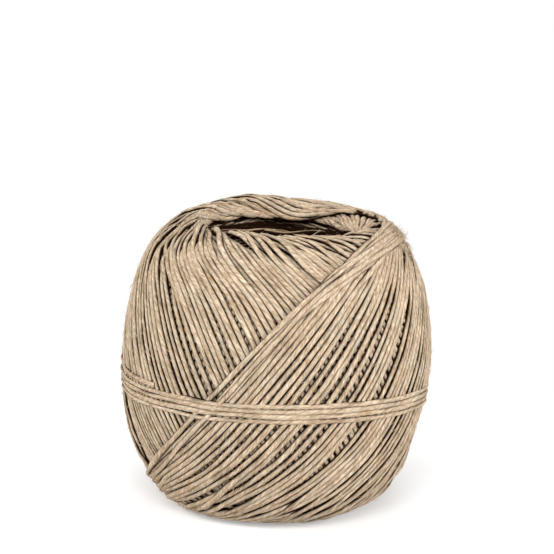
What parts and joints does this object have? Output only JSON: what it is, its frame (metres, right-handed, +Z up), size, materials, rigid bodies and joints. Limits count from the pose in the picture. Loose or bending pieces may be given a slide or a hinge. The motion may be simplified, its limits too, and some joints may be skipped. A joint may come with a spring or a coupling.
{
  "type": "ball of twine",
  "caption": "Barrel-shaped ball of natural twine, cross-wound round an open eye, with a band of turns round its waist.",
  "frame": {"origin": "centre of the foot, on the surface that the ball stands on", "axes": "+Z up along the eye; the front is at -Y"},
  "size_m": [0.0813, 0.0818, 0.076],
  "materials": {
    "outer_twine": "dry, low-twist bast-fibre twine, pale flax beige, matt, with a short fuzz",
    "inner_twine": "the same twine inside the eye, matt"
  },
  "bodies": {
    "root": {"winding_layer_1": "inner_twine", "winding_layer_2": "inner_twine", "winding_layer_3": "inner_twine", "winding_layer_4": "inner_twine", "old_lay_right_01": "outer_twine", "old_lay_right_02": "outer_twine", "old_lay_right_03": "outer_twine", "old_lay_right_04": "outer_twine", "old_lay_right_05": "outer_twine", "old_lay_right_06": "outer_twine", "old_lay_right_07": "outer_twine", "old_lay_right_08": "outer_twine", "old_lay_right_09": "outer_twine", "old_lay_right_10": "outer_twine", "old_lay_left_01": "outer_twine", "old_lay_left_02": "outer_twine", "old_lay_left_03": "outer_twine", "old_lay_left_04": "outer_twine", "old_lay_left_05": "outer_twine", "old_lay_left_06": "outer_twine", "old_lay_left_07": "outer_twine", "old_lay_left_08": "outer_twine", "last_lay_right_01": "outer_twine", "last_lay_right_02": "outer_twine", "last_lay_right_03": "outer_twine", "last_lay_right_04": "outer_twine", "last_lay_left_01": "outer_twine", "last_lay_left_02": "outer_twine", "last_lay_left_03": "outer_twine", "last_lay_left_04": "outer_twine", "band_turn_1": "outer_twine", "band_turn_2": "outer_twine", "band_turn_3": "outer_twine", "band_turn_4": "outer_twine", "band_lead": "outer_twine", "outer_end": "outer_twine"}
  },
  "joints": []
}
